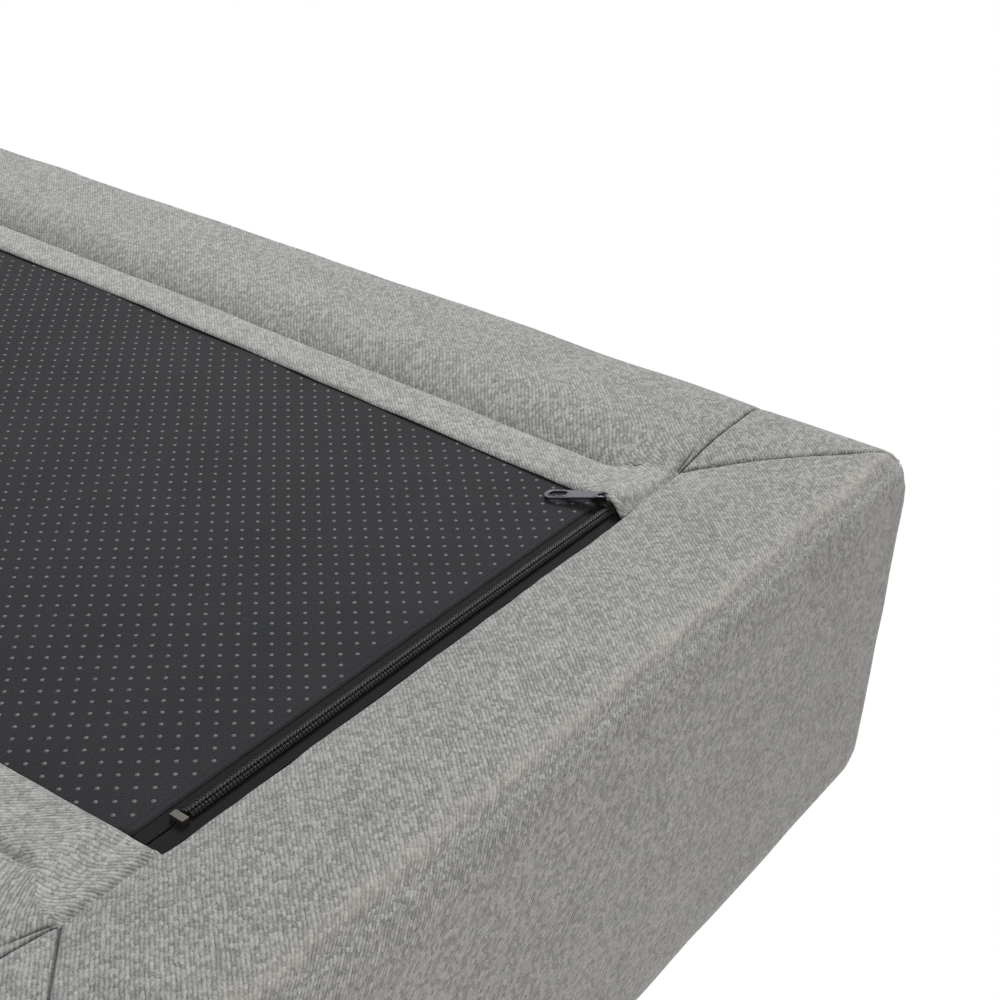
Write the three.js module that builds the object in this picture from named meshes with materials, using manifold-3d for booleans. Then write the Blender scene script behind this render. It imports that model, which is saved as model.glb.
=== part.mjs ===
// Foam dog ramp in a zipped upholstery cover.
// Units are millimetres and +Z is up. The origin is the middle of the footprint, on the floor.
// +X is the high end that stands against the sofa, and -X is the toe where the dog steps on.
// The underside holds an anti-slip panel in a shallow recess, closed by a coil zip at the high end.

import * as THREE from 'three';
import { ConvexGeometry } from 'three/addons/geometries/ConvexGeometry.js';
import { mergeVertices } from 'three/addons/utils/BufferGeometryUtils.js';
import Module from 'manifold-3d';

const wasm = await Module();
wasm.setup();

// Driving dimensions of the ramp
const LENGTH = 800;
const WIDTH = 500;
const HEIGHT = 190;
const TOE_HEIGHT = 45;
const UNDER_RADIUS = 18; // soft bottom edges at the high end
const TOP_RADIUS = 44; // soft top edges at the high end
const TOE_RADIUS = 16; // all edges at the toe

// Cover
const CLOTH = 1.6; // upholstery fabric with its backing
const GAP = 0.3; // between touching pieces
const RECESS = 9; // from the floor up to the anti-slip panel
const FLARE = 14; // run of the border's slope down into the recess
const HIGH_BORDER = 79.4; // outer wall to the zip's grey edge
const SIDE_BORDER = 78; // outer wall to the crease beside the lip
const TOE_BORDER = 60;
const LIP = 40; // folded facing strip beside the panel, at the zip end
const LIP_TAPERED = 26; // the same strip from TAPER_RUN onwards
const TAPER_RUN = 344;
const TOE_LIP = 25;
const LIP_HEIGHT = 1.7;
const LIP_RISE = 6.6; // floor to the lip's outer face
const PANEL = 1; // anti-slip fabric

// Padding
const COMFORT = 20; // soft foam layer under the tread
const FOAM_FLOOR = 13.4; // floor to the firm foam's flat base

// Number 5 coil zip
const ZIP_STRIP = 15; // grey edge to the panel's folded edge
const ZIP_CENTRE = 8; // grey edge to the middle of the chain
const TAPE = 0.6;
const TAPE_RISE = RECESS + 0.4;
const COIL_WIDTH = 2.6;
const COIL_HEIGHT = 2.2;
const CHAIN_SPLIT = 1.1; // clear slot between the two coils, for the slider's divider
const TOP_STOP_REACH = 13; // chain beyond the panel's corner, under the folded lip
const BOTTOM_STOP_INSET = 13; // the tapes' far end to the far end of the chain's stop
const SLIDER_LENGTH = 10;
const SLIDER_WIDTH = 9;
const PLATE = 0.8;
const SLIDER_INSET = -1.5; // middle of the slider at rest, measured from the panel's corner
const PULL_ANGLE = THREE.MathUtils.degToRad(157.8); // the pull lies to the side of the chain
const PULL_HINGE = 4; // swivel axis to lift axis
const PULL_LENGTH = 27;
const PULL_WIDTH = 7.4;
const PULL_THICKNESS = 1.2;
const PULL_DIP = 8; // degrees that the pull leans down to the panel at rest

// Places worked out from the driving dimensions
const HALF_LENGTH = LENGTH / 2;
const HALF_WIDTH = WIDTH / 2;
const SLOPE = Math.atan2(HEIGHT - TOE_HEIGHT, LENGTH);
const GREY_EDGE_X = HALF_LENGTH - HIGH_BORDER;
const CREASE_Y = HALF_WIDTH - SIDE_BORDER;
const TOE_CREASE_X = -HALF_LENGTH + TOE_BORDER;
const PANEL_FRONT_X = GREY_EDGE_X - ZIP_STRIP;
const PANEL_TOE_X = TOE_CREASE_X + TOE_LIP;
const TAPER_X = GREY_EDGE_X - TAPER_RUN;
const CORNER_Y = CREASE_Y - LIP;
const CHAIN_X = GREY_EDGE_X - ZIP_CENTRE;
const SLIDER_Y = -CORNER_Y + SLIDER_INSET;
const COIL_TOP = TAPE_RISE - GAP;
const PLATE_RISE = COIL_TOP - COIL_HEIGHT - GAP - PLATE;
const CROWN_BAR = 1; // the crown's arch, in height
const CROWN_CLEAR = 1.8; // tunnel under the arch
const PULL_RISE = PLATE_RISE - CROWN_CLEAR - CROWN_BAR / 2;

const TOP_NORMAL = new THREE.Vector3(-Math.sin(SLOPE), 0, Math.cos(SLOPE));
const group = new THREE.Group();
group.name = 'dog_ramp';

const CHARCOAL = [0x2c2d2f, 0.85, 0];
const GREY_TWILL = [0x9a9a97, 0.95, 0];
const BLACK_NYLON = [0x202124, 0.6, 0];
const GUNMETAL = [0x3a3a3e, 0.35, 0.9];
const FIRM_FOAM = [0xd8cfa8, 0.9, 0];
const SOFT_FOAM = [0xe9e2cc, 0.95, 0];
const FIBRE = [0xf1f1ee, 1, 0];

// ---- Solids ----

// A closed three.js geometry as a solid that can be joined and cut
function solid(geometry) {
  const plain = geometry.clone();
  plain.deleteAttribute('normal');
  plain.deleteAttribute('uv');
  const merged = mergeVertices(plain, 1e-4);
  return new wasm.Manifold(new wasm.Mesh({
    numProp: 3,
    vertProperties: new Float32Array(merged.attributes.position.array),
    triVerts: new Uint32Array(merged.index.array),
  }));
}

// A box between two corners
function block(low, high) {
  const size = high.map((value, i) => value - low[i]);
  const box = new THREE.BoxGeometry(...size);
  box.translate(low[0] + size[0] / 2, low[1] + size[1] / 2, low[2] + size[2] / 2);
  return solid(box);
}

// A plan outline, with optional holes, raised between two heights
function plate(outline, low, high, holes = []) {
  const shape = new THREE.Shape(outline.map(([x, y]) => new THREE.Vector2(x, y)));
  shape.holes = holes.map((hole) => new THREE.Path(hole.map(([x, y]) => new THREE.Vector2(x, y))));
  const raised = new THREE.ExtrudeGeometry(shape, { depth: high - low, bevelEnabled: false });
  raised.translate(0, 0, low);
  return solid(raised);
}

// The part of a solid on the side of a plane that the normal points to, less half a gap
function keepSide(body, point, normal, gap = GAP / 2) {
  const reach = 2 * LENGTH;
  const half = new THREE.BoxGeometry(reach, reach, reach);
  half.translate(0, 0, reach / 2 + gap);
  const upright = new THREE.Vector3(0, 0, 1);
  half.applyQuaternion(new THREE.Quaternion().setFromUnitVectors(upright, normal.clone().normalize()));
  half.translate(point.x, point.y, point.z);
  return body.intersect(solid(half));
}

function addNode(name, body, [color, roughness, metalness]) {
  const mesh = body.getMesh();
  const geometry = new THREE.BufferGeometry();
  geometry.setAttribute('position', new THREE.BufferAttribute(mesh.vertProperties, 3));
  geometry.setIndex(new THREE.BufferAttribute(mesh.triVerts, 1));
  geometry.computeVertexNormals();
  const node = new THREE.Mesh(geometry, new THREE.MeshStandardMaterial({ color, roughness, metalness }));
  node.name = name;
  group.add(node);
}

// ---- The ramp's outer form ----

function treadHeight(x) {
  return TOE_HEIGHT + (x + HALF_LENGTH) * Math.tan(SLOPE);
}

// Directions that fill the corner between three face normals
function cornerDirections(normals, steps = 5) {
  const found = [];
  for (let i = 0; i <= steps; i += 1) {
    for (let j = 0; j <= steps - i; j += 1) {
      const direction = new THREE.Vector3();
      [i, j, steps - i - j].forEach((weight, n) => direction.addScaledVector(normals[n], weight));
      found.push(direction.normalize());
    }
  }
  return found;
}

// The soft wedge, or the same wedge drawn in by inset on every side
function wedge(inset) {
  const points = [];
  for (const end of [-1, 1]) {
    for (const side of [-1, 1]) {
      for (const top of [false, true]) {
        const radius = end < 0 ? TOE_RADIUS : (top ? TOP_RADIUS : UNDER_RADIUS);
        const x = end * (HALF_LENGTH - radius);
        const z = top ? treadHeight(x) - radius / Math.cos(SLOPE) : radius;
        const centre = new THREE.Vector3(x, side * (HALF_WIDTH - radius), z);
        const normals = [
          new THREE.Vector3(end, 0, 0),
          new THREE.Vector3(0, side, 0),
          top ? TOP_NORMAL : new THREE.Vector3(0, 0, -1),
        ];
        cornerDirections(normals).forEach((direction) => {
          points.push(centre.clone().addScaledVector(direction, radius - inset));
        });
      }
    }
  }
  return solid(new ConvexGeometry(points));
}

// The recess in the underside, wider at the floor than at the panel
function recess(grow) {
  const points = [];
  const levels = [[-1, FLARE * (RECESS + 1) / RECESS], [RECESS + grow, 0]];
  for (const [z, flare] of levels) {
    const spread = flare + grow;
    for (const x of [TOE_CREASE_X - spread, GREY_EDGE_X + spread]) {
      for (const y of [-CREASE_Y - spread, CREASE_Y + spread]) {
        points.push(new THREE.Vector3(x, y, z));
      }
    }
  }
  return solid(new ConvexGeometry(points));
}

// ---- Cover panels: one skin, cut along its seams ----

// The planes that part the tread from the four walls, each through a top edge, and from the underside
function treadPlanes() {
  const high = new THREE.Vector3(HALF_LENGTH, 0, HEIGHT);
  const toe = new THREE.Vector3(-HALF_LENGTH, 0, TOE_HEIGHT);
  const walls = [[high, [1, 0, 0]], [toe, [-1, 0, 0]]];
  for (const side of [-1, 1]) {
    walls.push([new THREE.Vector3(0, side * HALF_WIDTH, treadHeight(0)), [0, side, 0]]);
  }
  const planes = walls.map(([point, wall]) => [point, TOP_NORMAL.clone().sub(new THREE.Vector3(...wall))]);
  return [...planes, [new THREE.Vector3(-HALF_LENGTH, 0, TOE_HEIGHT / 2), TOP_NORMAL]];
}

function coverPanels() {
  const skin = wedge(0).subtract(recess(0)).subtract(wedge(CLOTH).subtract(recess(CLOTH)));
  const opening = block([TOE_CREASE_X, -CREASE_Y, -1], [GREY_EDGE_X, CREASE_Y, FOAM_FLOOR]);
  const cut = (body, planes, gap) => planes.reduce((rest, [p, n]) => keepSide(rest, p, n, gap), body);
  addNode('tread_panel', cut(skin, treadPlanes()), GREY_TWILL);

  const everything = block([-LENGTH, -WIDTH, -HEIGHT], [LENGTH, WIDTH, 2 * HEIGHT]);
  const treadCell = cut(everything, treadPlanes(), -GAP / 2);
  const skirt = skin.subtract(treadCell).subtract(opening);
  const across = (x, y) => new THREE.Vector3(x, y, 0);

  let high = skirt;
  let toe = skirt;
  for (const side of [-1, 1]) {
    const name = side < 0 ? 'right' : 'left';
    const fork = across(GREY_EDGE_X, side * CREASE_Y);
    const corner = across(HALF_LENGTH, side * HALF_WIDTH);
    const along = corner.clone().sub(fork);
    const mitre = across(along.y * side, -along.x * side); // towards the high end's wall
    const toeCorner = across(-HALF_LENGTH, side * HALF_WIDTH);
    const toeMitre = across(1, side);

    high = keepSide(high, fork, mitre);
    toe = keepSide(toe, toeCorner, toeMitre.clone().negate());
    const flank = keepSide(skirt, across(0, side), across(0, side));
    const gusset = keepSide(keepSide(flank, fork, mitre.clone().negate()), fork, across(1, 0));
    const sidePanel = keepSide(keepSide(flank, fork, across(-1, 0)), toeCorner, toeMitre);
    addNode(`side_panel_${name}`, sidePanel, GREY_TWILL);
    addNode(`corner_gusset_${name}`, gusset, GREY_TWILL);
  }
  addNode('high_end_panel', keepSide(high, across(0, 0), across(1, 0)), GREY_TWILL);
  addNode('toe_panel', keepSide(toe, across(0, 0), across(-1, 0)), GREY_TWILL);
}

// ---- Underside: the anti-slip panel and the lips that face its sewn edges ----

function panelOutline() {
  const tapered = CREASE_Y - LIP_TAPERED;
  const right = [[PANEL_TOE_X, -tapered], [TAPER_X, -tapered], [PANEL_FRONT_X, -CORNER_Y]];
  return [...right, ...right.map(([x, y]) => [x, -y]).reverse()];
}

function underside() {
  addNode('base_panel', plate(panelOutline(), RECESS, RECESS + PANEL), CHARCOAL);
  const low = LIP_RISE;
  const high = LIP_RISE + LIP_HEIGHT;
  const tapered = CREASE_Y - LIP_TAPERED + GAP;
  const outer = CREASE_Y - GAP;
  for (const side of [-1, 1]) {
    const outline = [
      [TOE_CREASE_X + GAP, outer], [TOE_CREASE_X + GAP, tapered], [TAPER_X, tapered],
      [GREY_EDGE_X - GAP, CORNER_Y + GAP], [GREY_EDGE_X - GAP, outer],
    ].map(([x, y]) => [x, side * y]);
    let strip = plate(side > 0 ? outline.reverse() : outline, low, high);
    if (side < 0) {
      // the folded end stands open over the slider and the top stops
      const pocket = [GREY_EDGE_X - 2 * ZIP_STRIP, -CORNER_Y - TOP_STOP_REACH - 3, -1];
      strip = strip.subtract(block(pocket, [GREY_EDGE_X + 1, 0, FOAM_FLOOR]));
    }
    addNode(side < 0 ? 'lip_right' : 'lip_left', strip, GREY_TWILL);
  }
  const toeLip = block([TOE_CREASE_X + GAP, -tapered + GAP, low], [PANEL_TOE_X - GAP, tapered - GAP, high]);
  addNode('lip_toe', toeLip, GREY_TWILL);
}

// ---- Padding inside the cover ----

function padding() {
  const inside = wedge(CLOTH + GAP);
  const split = new THREE.Vector3(HALF_LENGTH, 0, HEIGHT).addScaledVector(TOP_NORMAL, -COMFORT);
  addNode('comfort_foam', keepSide(inside, split, TOP_NORMAL), SOFT_FOAM);
  const firm = keepSide(inside, split, TOP_NORMAL.clone().negate());
  const base = new THREE.Vector3(0, 0, FOAM_FLOOR);
  addNode('foam_core', keepSide(firm, base, new THREE.Vector3(0, 0, 1)), FIRM_FOAM);
  const ring = keepSide(inside, base, new THREE.Vector3(0, 0, -1)).subtract(recess(CLOTH + GAP));
  const middle = block(
    [TOE_CREASE_X - GAP, -CREASE_Y - GAP, -1],
    [GREY_EDGE_X + GAP, CREASE_Y + GAP, HEIGHT],
  );
  addNode('border_wadding', ring.subtract(middle), FIBRE);
}

// ---- Zip: two tapes with a coil each, and the stops ----

function zip() {
  const start = -CORNER_Y - TOP_STOP_REACH;
  const end = CORNER_Y - 1;
  const chainEnd = end - BOTTOM_STOP_INSET;
  const slot = CHAIN_SPLIT / 2;
  const sides = [['border', 1, GREY_EDGE_X - GAP - CHAIN_X], ['panel', -1, CHAIN_X - PANEL_FRONT_X - GAP]];
  for (const [name, side, tapeWidth] of sides) {
    const strip = (inner, outer, low, high, from = start, to = end) => {
      const edges = [CHAIN_X + side * inner, CHAIN_X + side * outer].sort((a, b) => a - b);
      return block([edges[0], from, low], [edges[1], to, high]);
    };
    addNode(`zip_tape_${name}`, strip(slot, tapeWidth, TAPE_RISE, TAPE_RISE + TAPE), BLACK_NYLON);
    const coil = strip(slot, slot + COIL_WIDTH, COIL_TOP - COIL_HEIGHT, COIL_TOP, start + 3, chainEnd - 3.3);
    addNode(`zip_coil_${name}`, coil, BLACK_NYLON);
    const stop = strip(slot, slot + COIL_WIDTH, COIL_TOP - COIL_HEIGHT, COIL_TOP, start + 0.7, start + 2.7);
    addNode(`zip_top_stop_${name}`, stop, GUNMETAL);
  }
  const width = slot + COIL_WIDTH;
  const bottom = [CHAIN_X - width, chainEnd - 3, COIL_TOP - COIL_HEIGHT];
  addNode('zip_bottom_stop', block(bottom, [CHAIN_X + width, chainEnd, COIL_TOP]), GUNMETAL);
}

// ---- Slider with its crown, link and pull ----

function sliderBody() {
  const half = SLIDER_LENGTH / 2;
  const wide = SLIDER_WIDTH / 2;
  const waist = wide - 1;
  const outline = [
    [-waist, half], [-waist, 0], [-wide, -2], [-wide + 1, -half],
    [wide - 1, -half], [wide, -2], [waist, 0], [waist, half],
  ].map(([x, y]) => [CHAIN_X + x, SLIDER_Y + y]);
  const topRise = TAPE_RISE + TAPE + GAP;
  const channel = COIL_TOP - COIL_HEIGHT - GAP;
  const shell = plate(outline, PLATE_RISE, TAPE_RISE - GAP);
  const coilWidth = CHAIN_SPLIT / 2 + COIL_WIDTH + GAP / 2;
  const track = block(
    [CHAIN_X - coilWidth, SLIDER_Y - SLIDER_LENGTH, channel],
    [CHAIN_X + coilWidth, SLIDER_Y + SLIDER_LENGTH, RECESS + SLIDER_LENGTH],
  );
  const inner = plate(outline, topRise, topRise + PLATE);
  const divider = block(
    [CHAIN_X - 0.25, SLIDER_Y - half + 0.4, PLATE_RISE + PLATE / 2],
    [CHAIN_X + 0.25, SLIDER_Y - 1, topRise + PLATE / 2],
  );
  addNode('slider_body', shell.subtract(track).add(inner).add(divider), GUNMETAL);
}

function crown() {
  const [foot, inner, depth] = [4.4, 3.2, 0.9];
  const low = PLATE_RISE - CROWN_CLEAR - CROWN_BAR;
  const arch = block(
    [CHAIN_X - depth, SLIDER_Y - foot, low],
    [CHAIN_X + depth, SLIDER_Y + foot, PLATE_RISE - GAP],
  );
  const tunnel = block(
    [CHAIN_X - SLIDER_WIDTH, SLIDER_Y - inner, low + CROWN_BAR],
    [CHAIN_X + SLIDER_WIDTH, SLIDER_Y + inner, RECESS],
  );
  addNode('slider_crown', arch.subtract(tunnel), GUNMETAL);
}

// A ring that stands on edge round the crown's bar and through the pull's eye
function pullLink() {
  const [near, far, wire, half] = [-3.1, 4.9, 0.8, 0.9];
  const ring = (from, to, rise) => {
    const path = new THREE.Shape();
    path.moveTo(from + rise, -rise);
    path.lineTo(to - rise, -rise);
    path.absarc(to - rise, 0, rise, -Math.PI / 2, Math.PI / 2, false);
    path.lineTo(from + rise, rise);
    path.absarc(from + rise, 0, rise, Math.PI / 2, (3 * Math.PI) / 2, false);
    return path;
  };
  const shape = ring(near - wire, far + wire, half + wire);
  shape.holes = [ring(near, far, half)];
  const link = new THREE.ExtrudeGeometry(shape, { depth: 1, bevelEnabled: false, curveSegments: 4 });
  link.translate(0, 0, -0.5);
  link.rotateX(Math.PI / 2);
  link.rotateZ(PULL_ANGLE);
  link.translate(CHAIN_X, SLIDER_Y, PULL_RISE);
  addNode('pull_link', solid(link), GUNMETAL);
}

// The pull is drawn from its hinge, along +X, and then leaned and turned into place
function pullTab() {
  const [rootBar, eyeLength, eyeHalf, neck] = [0.45, 2.8, 0.9, 2];
  const [holeFrom, holeTo, holeHalf, holePoint] = [2.2, 10.4, 1.9, 0.8]; // measured from the tip
  const half = PULL_WIDTH / 2;
  const tip = PULL_LENGTH;
  const root = -rootBar;
  const outline = [[root, -neck], [root + 4.2, -neck], [root + 6, -half * 0.8]];
  const end = [[root, neck], [root + 4.2, neck], [root + 6, half * 0.8]].reverse();
  const steps = 6;
  for (let i = 0; i <= steps; i += 1) {
    const turn = -Math.PI / 2 + (Math.PI * i) / steps;
    outline.push([tip - half + half * Math.cos(turn), half * Math.sin(turn)]);
  }
  const eye = [
    [root + 2 * rootBar, -eyeHalf], [root + 2 * rootBar + eyeLength, -eyeHalf],
    [root + 2 * rootBar + eyeLength, eyeHalf], [root + 2 * rootBar, eyeHalf],
  ];
  const hole = [
    [tip - holeTo + holePoint, -holeHalf], [tip - holeFrom - holePoint, -holeHalf], [tip - holeFrom, 0],
    [tip - holeFrom - holePoint, holeHalf], [tip - holeTo + holePoint, holeHalf], [tip - holeTo, 0],
  ];
  const low = -PULL_THICKNESS / 2;
  const flat = plate([...outline, ...end], low, low + PULL_THICKNESS, [hole]);
  const window = plate(eye, low - 1, low + PULL_THICKNESS + 1);
  // the root bar inside the link is no thicker than the link's slot allows
  const bar = [
    [root - 1, -neck - 1], [root + 2 * rootBar, -neck - 1],
    [root + 2 * rootBar, neck + 1], [root - 1, neck + 1],
  ];
  const above = plate(bar, rootBar, 2);
  const below = plate(bar, -2, -rootBar);
  const tab = flat.subtract(window).subtract(above).subtract(below);
  const leaning = tab.rotate([0, -PULL_DIP, 0]).rotate([0, 0, THREE.MathUtils.radToDeg(PULL_ANGLE)]);
  const hinge = [
    CHAIN_X + PULL_HINGE * Math.cos(PULL_ANGLE),
    SLIDER_Y + PULL_HINGE * Math.sin(PULL_ANGLE),
    PULL_RISE,
  ];
  addNode('pull_tab', leaning.translate(hinge), GUNMETAL);
}

coverPanels();
underside();
padding();
zip();
sliderBody();
crown();
pullLink();
pullTab();

export default group;
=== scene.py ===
import math

import bmesh
import bpy
from mathutils import Matrix, Vector, noise


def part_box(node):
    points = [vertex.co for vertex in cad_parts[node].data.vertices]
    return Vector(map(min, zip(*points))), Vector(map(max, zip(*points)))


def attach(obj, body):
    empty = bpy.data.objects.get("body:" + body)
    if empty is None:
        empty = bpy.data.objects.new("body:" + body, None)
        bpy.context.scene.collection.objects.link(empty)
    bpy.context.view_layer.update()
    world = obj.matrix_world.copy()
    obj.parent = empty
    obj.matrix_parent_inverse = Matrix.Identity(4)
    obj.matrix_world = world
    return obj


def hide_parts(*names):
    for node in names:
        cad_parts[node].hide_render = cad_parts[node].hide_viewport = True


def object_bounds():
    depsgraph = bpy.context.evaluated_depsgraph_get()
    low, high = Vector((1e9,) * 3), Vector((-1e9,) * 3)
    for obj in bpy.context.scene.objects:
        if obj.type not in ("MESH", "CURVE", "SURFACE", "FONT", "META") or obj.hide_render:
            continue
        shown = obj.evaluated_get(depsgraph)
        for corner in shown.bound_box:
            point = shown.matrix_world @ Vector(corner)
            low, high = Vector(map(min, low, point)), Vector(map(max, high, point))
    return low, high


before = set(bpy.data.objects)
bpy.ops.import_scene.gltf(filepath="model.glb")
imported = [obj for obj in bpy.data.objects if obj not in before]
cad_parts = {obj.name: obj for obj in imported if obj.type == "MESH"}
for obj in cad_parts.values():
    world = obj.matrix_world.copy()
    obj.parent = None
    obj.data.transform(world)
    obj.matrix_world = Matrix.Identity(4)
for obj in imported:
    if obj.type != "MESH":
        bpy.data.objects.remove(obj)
cad_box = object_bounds()
MM = 0.001

# ---- Camera -------------------------------------------------------------------------------------
# A close view of the underside's corner at the high end, from below and beyond the end wall,
# so that the underside reads as if the ramp lay turned over.
SEAM_GAP = 0.3 * MM
zip_grey_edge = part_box("zip_tape_border")[1].x + SEAM_GAP
panel_low, panel_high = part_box("base_panel")
corner = Vector((zip_grey_edge - 2.6 * MM, -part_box("zip_tape_panel")[1].y - 1 * MM, panel_low.z))
right = Vector((0.78914, -0.61417, -0.00692)).normalized()
forward = Vector((-0.52218, -0.67680, 0.51891)).normalized()
up = right.cross(forward).normalized()
right = forward.cross(up).normalized()
place = corner - right * 0.0520 + up * 0.00575 - forward * 0.7139

camera = bpy.data.objects.new("camera", bpy.data.cameras.new("camera"))
camera.data.lens = 60.3
camera.data.sensor_width = 36
camera.data.clip_start = 0.01
camera.matrix_world = Matrix.Translation(place) @ Matrix((right, up, -forward)).transposed().to_4x4()
bpy.context.scene.collection.objects.link(camera)
bpy.context.scene.camera = camera
bpy.context.scene.view_settings.view_transform = "Standard"


# ---- Lights and floor ---------------------------------------------------------------------------
# A white studio: two broad lights on the underside, one on the high end and a soft sun from above.
# The pale floor is solid from above and clear from below, so that the underside shows through it.
def softbox(name, position, target, size, power, tint=(1, 1, 1)):
    light = bpy.data.lights.new(name, "AREA")
    light.shape, light.size, light.size_y = "RECTANGLE", size[0], size[1]
    light.energy, light.color = power, tint
    lamp = bpy.data.objects.new(name, light)
    lamp.location = position
    lamp.rotation_euler = (Vector(target) - Vector(position)).to_track_quat("-Z", "Y").to_euler()
    bpy.context.scene.collection.objects.link(lamp)


softbox("under_key", (-0.5, -1.3, -1.55), (0.2, -0.1, 0), (0.9, 0.9), 35.5, (1.0, 0.99, 0.97))
softbox("under_fill", (1.2, 1.2, -1.5), (0.3, -0.1, 0.05), (1.4, 1.0), 6, (0.96, 0.98, 1.0))
softbox("end_fill", (2.0, 0.9, -0.2), (0.4, 0, 0.1), (1.2, 1.2), 17, (1.0, 0.95, 0.88))
sky = bpy.data.lights.new("sky", "SUN")
sky.energy, sky.angle = 2.3, math.radians(45)
sky_lamp = bpy.data.objects.new("sky", sky)
sky_lamp.rotation_euler = Vector((0.35, 0.55, -1)).to_track_quat("-Z", "Y").to_euler()
bpy.context.scene.collection.objects.link(sky_lamp)

world = bpy.data.worlds.new("studio")
world.use_nodes = True
backdrop = world.node_tree.nodes["Background"]
seen_by = world.node_tree.nodes.new("ShaderNodeLightPath")
level = world.node_tree.nodes.new("ShaderNodeMapRange")
level.inputs["To Min"].default_value, level.inputs["To Max"].default_value = 0.34, 1.0
world.node_tree.links.new(seen_by.outputs["Is Camera Ray"], level.inputs["Value"])
world.node_tree.links.new(level.outputs[0], backdrop.inputs["Strength"])
backdrop.inputs["Color"].default_value = (1, 1, 1, 1)
bpy.context.scene.world = world


class Wire:
    """One value inside a shader, which can be added, multiplied and so on like a number."""

    def __init__(self, finish, socket):
        self.finish, self.socket = finish, socket

    def _sum(self, operation, *values):
        return self.finish.node("ShaderNodeMath", {"operation": operation}, dict(enumerate(values)))

    def __add__(self, other):
        return self._sum("ADD", self, other)

    def __radd__(self, other):
        return self._sum("ADD", other, self)

    def __sub__(self, other):
        return self._sum("SUBTRACT", self, other)

    def __mul__(self, other):
        return self._sum("MULTIPLY", self, other)

    def __truediv__(self, other):
        return self._sum("DIVIDE", self, other)

    def sine(self):
        return self._sum("SINE", self)

    def floor(self):
        return self._sum("FLOOR", self)

    def fraction(self):
        return self._sum("FRACT", self)

    def absolute(self):
        return self._sum("ABSOLUTE", self)

    def smallest(self, other):
        return self._sum("MINIMUM", self, other)

    def largest(self, other):
        return self._sum("MAXIMUM", self, other)

    def step(self, low, high):
        return self.finish.node("ShaderNodeMapRange", {"interpolation_type": "SMOOTHSTEP"},
                                {"Value": self, "From Min": low, "From Max": high})


class Finish:
    """One material: its nodes, and the short words that its recipes are written in."""

    def __init__(self, name, roughness=0.6, **constants):
        self.material = bpy.data.materials.new(name)
        self.material.use_nodes = True
        self.tree = self.material.node_tree
        self.shader = self.tree.nodes["Principled BSDF"]
        self.shader.inputs["Roughness"].default_value = roughness
        for socket, value in constants.items():
            self.shader.inputs[socket.replace("_", " ")].default_value = value

    def node(self, kind, settings=None, values=None, output=0):
        made = self.tree.nodes.new(kind)
        for name, value in (settings or {}).items():
            if name == "stops":
                ramp = made.color_ramp
                while len(ramp.elements) < len(value):
                    ramp.elements.new(0.5)
                for element, (position, colour) in zip(ramp.elements, value):
                    element.position, element.color = position, (*colour, 1)
            else:
                setattr(made, name, value)
        for name, value in (values or {}).items():
            if isinstance(value, Wire):
                self.tree.links.new(value.socket, made.inputs[name])
            else:
                made.inputs[name].default_value = value
        return Wire(self, made.outputs[output])

    def place(self):
        return self.node("ShaderNodeTexCoord", output=3)

    def uv(self, name):
        return self.node("ShaderNodeUVMap", {"uv_map": name})

    def split(self, vector):
        parts = self.node("ShaderNodeSeparateXYZ", None, {"Vector": vector}).socket.node
        return [Wire(self, socket) for socket in parts.outputs]

    def join(self, x, y, z=0.0):
        return self.node("ShaderNodeCombineXYZ", None, {"X": x, "Y": y, "Z": z})

    def noise(self, vector, scale, detail=2.0, roughness=0.5):
        return self.node("ShaderNodeTexNoise", None,
                         {"Vector": vector, "Scale": scale, "Detail": detail, "Roughness": roughness})

    def chance(self, vector):
        return self.node("ShaderNodeTexWhiteNoise", {"noise_dimensions": "3D"}, {"Vector": vector})

    def mix(self, amount, first, second):
        colour = [(*c, 1) if isinstance(c, tuple) else c for c in (first, second)]
        return self.node("ShaderNodeMix", {"data_type": "RGBA"},
                         {0: amount, 6: colour[0], 7: colour[1]}, output=2)

    def tint(self, colour, strength):
        return self.node("ShaderNodeVectorMath", {"operation": "SCALE"},
                         {"Vector": colour, "Scale": strength})

    def bump(self, height, depth, strength=1.0):
        return self.node("ShaderNodeBump", None,
                         {"Height": height, "Distance": depth, "Strength": strength})

    def set(self, **wires):
        for socket, wire in wires.items():
            self.tree.links.new(wire.socket, self.shader.inputs[socket.replace("_", " ")])
        return self.material


ground = bmesh.new()
bmesh.ops.create_grid(ground, x_segments=1, y_segments=1, size=6)
floor_mesh = bpy.data.meshes.new("floor")
ground.to_mesh(floor_mesh)
ground.free()
floor = bpy.data.objects.new("floor", floor_mesh)
bpy.context.scene.collection.objects.link(floor)
pale = Finish("pale_floor", 0.9, Base_Color=(0.86, 0.86, 0.85, 1))
clear = pale.node("ShaderNodeBsdfTransparent")
below = pale.node("ShaderNodeNewGeometry", output=6)
seen = pale.node("ShaderNodeMixShader", None, {0: below, 1: Wire(pale, pale.shader.outputs[0]), 2: clear})
pale.tree.links.new(seen.socket, pale.tree.nodes["Material Output"].inputs[0])
floor_mesh.materials.append(pale.material)
floor.visible_shadow = floor.visible_diffuse = floor.visible_glossy = False


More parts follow.
